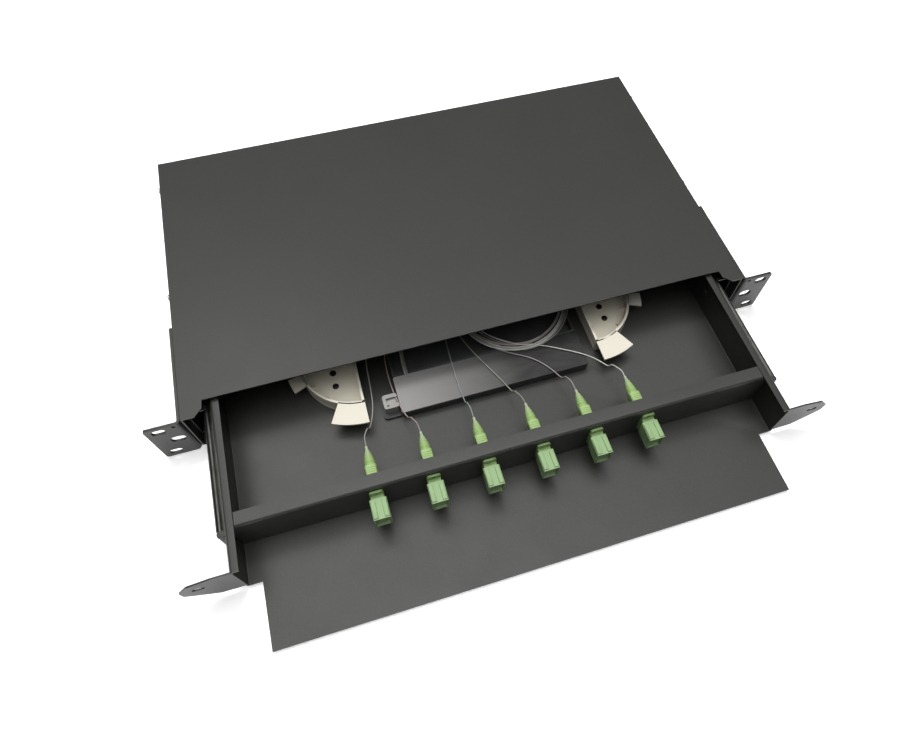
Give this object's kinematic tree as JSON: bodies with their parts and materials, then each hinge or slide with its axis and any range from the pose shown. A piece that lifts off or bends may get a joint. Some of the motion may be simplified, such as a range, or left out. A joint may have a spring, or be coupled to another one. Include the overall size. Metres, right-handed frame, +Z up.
{
  "type": "fiber termination box",
  "caption": "Flat rack-mount steel case with a drawer on ball slides that holds fibre couplers, pigtails, bend guides and a splice tray.",
  "frame": {"origin": "middle of the bounding box's base, with the drawer partly pulled out as shown", "axes": "+X to the object's right seen from its front, +Y towards the rear of the rack, +Z up"},
  "size_m": [0.4826, 0.4334, 0.044],
  "materials": {
    "black_steel": "fine-textured black powder coat, satin",
    "screw_steel": "bright zinc, lightly worn",
    "zinc_steel": "zinc-plated rail, satin",
    "cage_steel": "pressed steel cage with steel balls",
    "gland_black": "black moulded nylon",
    "coupler_green": "moulded green plastic",
    "boot_green": "green plastic grip and rubber boot",
    "cap_pale": "pale green translucent plastic",
    "fibre_white": "white tight-buffered fibre",
    "tail_white": "white tight-buffered fibres, bundled",
    "cream_plastic": "cream moulded plastic",
    "dark_plastic": "black moulded plastic",
    "grey_plastic": "grey moulded plastic",
    "white_plastic": "white moulded plastic",
    "splice_rubber": "soft black rubber"
  },
  "bodies": {
    "case": {"case_body": "black_steel", "top_cover": "black_steel", "rack_ear_left": "black_steel", "rack_ear_right": "black_steel", "ear_screw_left_front": "screw_steel", "ear_screw_left_rear": "screw_steel", "ear_screw_right_front": "screw_steel", "ear_screw_right_rear": "screw_steel", "cover_screw_left_front": "screw_steel", "cover_screw_left_rear": "screw_steel", "cover_screw_right_front": "screw_steel", "cover_screw_right_rear": "screw_steel", "slide_outer_left": "zinc_steel", "slide_outer_right": "zinc_steel", "gland_body_left": "gland_black", "gland_body_right": "gland_black", "gland_cap_left": "gland_black", "gland_cap_right": "gland_black", "gland_locknut_left": "gland_black", "gland_locknut_right": "gland_black"},
    "drawer": {"drawer_tray": "black_steel", "adapter_panel": "black_steel", "slide_inner_left": "zinc_steel", "slide_inner_right": "zinc_steel", "adapter_1": "coupler_green", "adapter_2": "coupler_green", "adapter_3": "coupler_green", "adapter_4": "coupler_green", "adapter_5": "coupler_green", "adapter_6": "coupler_green", "plug_1": "boot_green", "plug_2": "boot_green", "plug_3": "boot_green", "plug_4": "boot_green", "plug_5": "boot_green", "plug_6": "boot_green", "pigtail_1": "fibre_white", "pigtail_2": "fibre_white", "pigtail_3": "fibre_white", "pigtail_4": "fibre_white", "pigtail_5": "fibre_white", "pigtail_6": "fibre_white", "fibre_coil": "fibre_white", "splice_tail": "tail_white", "fibre_guide_front_left": "cream_plastic", "fibre_guide_front_right": "cream_plastic", "fibre_guide_rear_left": "cream_plastic", "fibre_guide_rear_right": "cream_plastic", "splice_tray": "dark_plastic", "splice_cover": "grey_plastic", "splice_clip": "white_plastic", "splice_comb": "splice_rubber"},
    "cage_left": {"ball_cage_left": "cage_steel"},
    "cage_right": {"ball_cage_right": "cage_steel"},
    "dust_cap_1": {"cap_1": "cap_pale"},
    "dust_cap_2": {"cap_2": "cap_pale"},
    "dust_cap_3": {"cap_3": "cap_pale"},
    "dust_cap_4": {"cap_4": "cap_pale"},
    "dust_cap_5": {"cap_5": "cap_pale"},
    "dust_cap_6": {"cap_6": "cap_pale"}
  },
  "joints": [
    {"name": "drawer_slide", "type": "slide", "parent": "case", "child": "drawer", "axis": [0, -1, 0], "range_m": [-0.1085, 0.038]},
    {"name": "cage_left_roll", "type": "slide", "parent": "case", "child": "cage_left", "axis": [0, -1, 0], "range_m": [-0.05425, 0.019]},
    {"name": "cage_right_roll", "type": "slide", "parent": "case", "child": "cage_right", "axis": [0, -1, 0], "range_m": [-0.05425, 0.019]},
    {"name": "cap_1_pull", "type": "slide", "parent": "drawer", "child": "dust_cap_1", "axis": [0, -1, 0], "range_m": [0, 0.016]},
    {"name": "cap_2_pull", "type": "slide", "parent": "drawer", "child": "dust_cap_2", "axis": [0, -1, 0], "range_m": [0, 0.016]},
    {"name": "cap_3_pull", "type": "slide", "parent": "drawer", "child": "dust_cap_3", "axis": [0, -1, 0], "range_m": [0, 0.016]},
    {"name": "cap_4_pull", "type": "slide", "parent": "drawer", "child": "dust_cap_4", "axis": [0, -1, 0], "range_m": [0, 0.016]},
    {"name": "cap_5_pull", "type": "slide", "parent": "drawer", "child": "dust_cap_5", "axis": [0, -1, 0], "range_m": [0, 0.016]},
    {"name": "cap_6_pull", "type": "slide", "parent": "drawer", "child": "dust_cap_6", "axis": [0, -1, 0], "range_m": [0, 0.016]}
  ],
  "couplings": [
    {"joint": "cage_left_roll", "follows": "drawer_slide", "ratio": 0.5},
    {"joint": "cage_right_roll", "follows": "drawer_slide", "ratio": 0.5}
  ]
}
